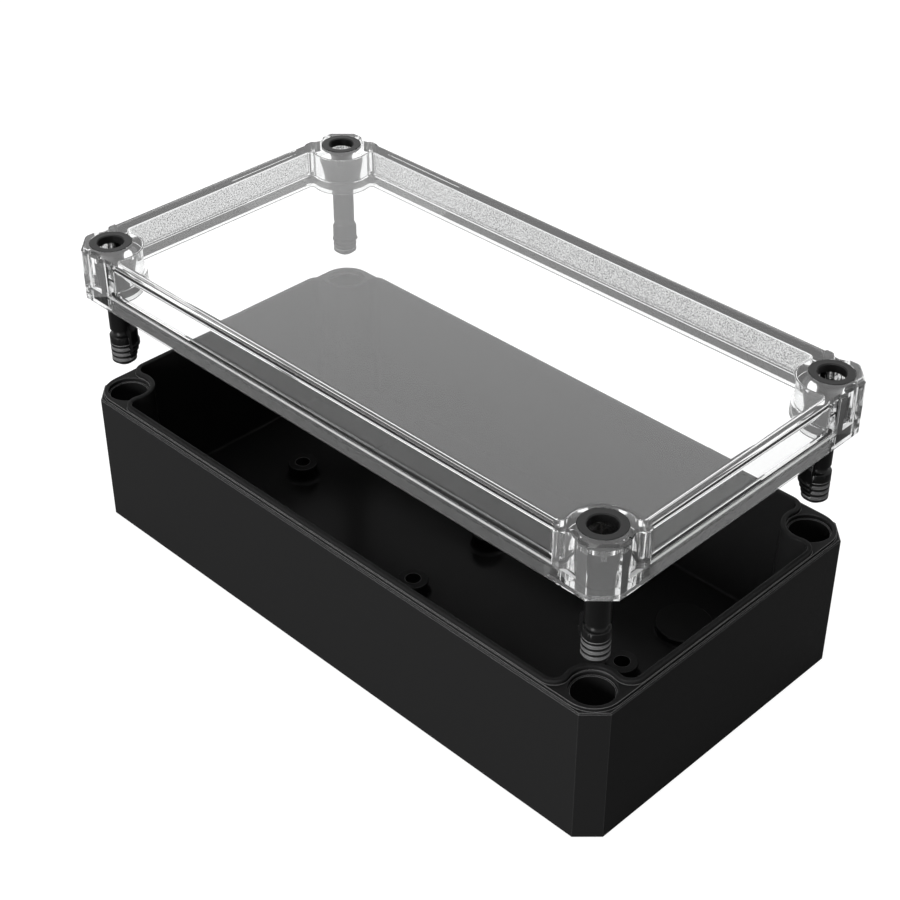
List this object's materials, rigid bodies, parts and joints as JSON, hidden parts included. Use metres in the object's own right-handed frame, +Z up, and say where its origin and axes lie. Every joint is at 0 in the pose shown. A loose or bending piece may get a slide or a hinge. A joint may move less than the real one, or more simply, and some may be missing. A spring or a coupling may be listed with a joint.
{
  "type": "electrical enclosure",
  "caption": "Low rectangular enclosure: black moulded base, clear gasketed lid shown lifted off it, and captive quarter turn closures in the lid's corner posts.",
  "frame": {"origin": "middle of the base's underside", "axes": "+X along the long side, +Y along the short side towards the rear, +Z up, the way the lid lifts"},
  "size_m": [0.18, 0.094, 0.084],
  "materials": {
    "base_plastic": "fine moulded texture",
    "lid_plastic": "clear, polished outside, frosted inner walls",
    "gasket_rubber": "matte",
    "ring_plastic": "satin",
    "stud_plastic": "satin"
  },
  "bodies": {
    "base": {"base": "base_plastic"},
    "lid": {"lid": "lid_plastic", "gasket": "gasket_rubber", "closure_ring_front_right": "ring_plastic", "closure_ring_rear_right": "ring_plastic", "closure_ring_rear_left": "ring_plastic", "closure_ring_front_left": "ring_plastic"},
    "stud_front_right": {"closure_stud_front_right": "stud_plastic"},
    "stud_rear_right": {"closure_stud_rear_right": "stud_plastic"},
    "stud_rear_left": {"closure_stud_rear_left": "stud_plastic"},
    "stud_front_left": {"closure_stud_front_left": "stud_plastic"}
  },
  "joints": [
    {"name": "lid_lift", "type": "slide", "parent": "base", "child": "lid", "axis": [0, 0, 1], "range_m": [-0.0314, 0.03]},
    {"name": "turn_front_right", "type": "hinge", "parent": "lid", "child": "stud_front_right", "pos_m": [0.0825, -0.0395, 0.0697], "axis": [0, 0, 1], "range_deg": [-90, 0]},
    {"name": "turn_rear_right", "type": "hinge", "parent": "lid", "child": "stud_rear_right", "pos_m": [0.0825, 0.0395, 0.0697], "axis": [0, 0, 1], "range_deg": [-90, 0]},
    {"name": "turn_rear_left", "type": "hinge", "parent": "lid", "child": "stud_rear_left", "pos_m": [-0.0825, 0.0395, 0.0697], "axis": [0, 0, 1], "range_deg": [-90, 0]},
    {"name": "turn_front_left", "type": "hinge", "parent": "lid", "child": "stud_front_left", "pos_m": [-0.0825, -0.0395, 0.0697], "axis": [0, 0, 1], "range_deg": [-90, 0]}
  ]
}
